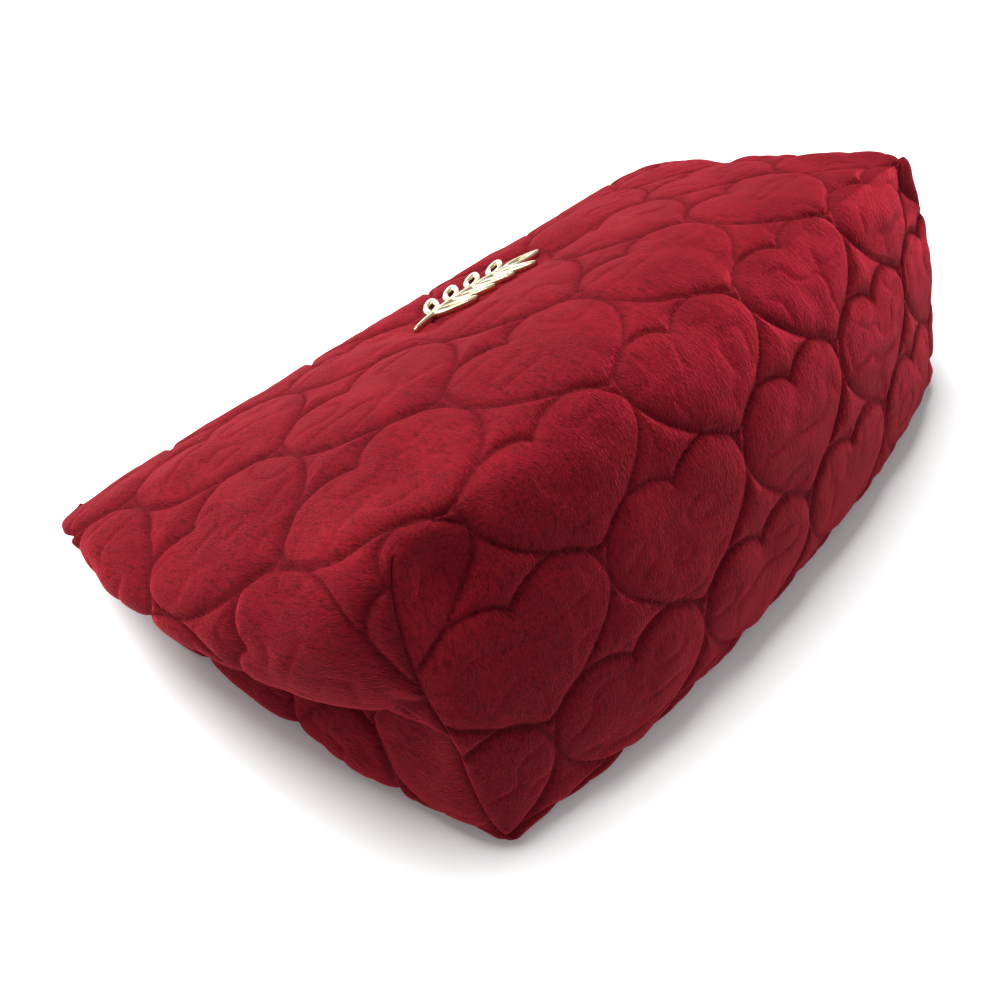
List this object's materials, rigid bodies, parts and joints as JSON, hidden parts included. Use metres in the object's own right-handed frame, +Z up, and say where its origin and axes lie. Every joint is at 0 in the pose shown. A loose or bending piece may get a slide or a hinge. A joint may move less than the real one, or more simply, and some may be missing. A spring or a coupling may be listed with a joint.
{
  "type": "makeup bag",
  "caption": "Wedge-shaped quilted plush makeup bag lying on its back panel, with a zipped mouth and a metal leaf ornament on the front panel.",
  "frame": {"origin": "centre of the back panel's resting face, on which the bag lies", "axes": "+X along the zip, +Y from the base towards the zip, +Z up out of the back panel"},
  "size_m": [0.25, 0.1392, 0.076],
  "materials": {
    "plush": "short pile plush, deep red",
    "wadding": "soft white wadding",
    "lining": "woven satin lining",
    "tape": "woven tape",
    "zip_gold": "polished light gold",
    "emblem_gold": "polished pale gold"
  },
  "bodies": {
    "bag": {"cover_base_back": "plush", "cover_left_end": "plush", "cover_right_end": "plush", "wadding_base_back": "wadding", "wadding_left_end": "wadding", "wadding_right_end": "wadding", "lining_base_back": "lining", "lining_left_end": "lining", "lining_right_end": "lining", "seam_binding_left": "tape", "seam_binding_right": "tape", "zip_tape_back": "tape", "zip_teeth_back": "zip_gold", "zip_top_stop_back": "zip_gold", "zip_bottom_stop": "zip_gold", "zip_end_tab_left": "plush", "zip_end_tab_right": "plush"},
    "front_panel": {"cover_front": "plush", "wadding_front": "wadding", "lining_front": "lining", "zip_tape_front": "tape", "zip_teeth_front": "zip_gold", "zip_top_stop_front": "zip_gold", "emblem": "emblem_gold", "emblem_posts": "zip_gold", "emblem_washers": "zip_gold"},
    "slider": {"zip_slider": "zip_gold"},
    "pull": {"pull_tab": "zip_gold"}
  },
  "joints": [
    {"name": "mouth_open", "type": "hinge", "parent": "bag", "child": "front_panel", "pos_m": [0, -0.0295, 0.076], "axis": [1, 0, 0], "range_deg": [0, 25], "deforming": ["zip_tape_front", "zip_teeth_front", "zip_teeth_back"]},
    {"name": "zip_run", "type": "slide", "parent": "bag", "child": "slider", "axis": [-1, 0, 0], "range_m": [0, 0.205]},
    {"name": "pull_swing", "type": "hinge", "parent": "slider", "child": "pull", "pos_m": [0.105, 0.06975, 0.0108], "axis": [0, 0, -1], "range_deg": [0, 180]}
  ],
  "couplings": [
    {"joint": "zip_run", "follows": "mouth_open", "m_per_rad": 0.46978}
  ]
}
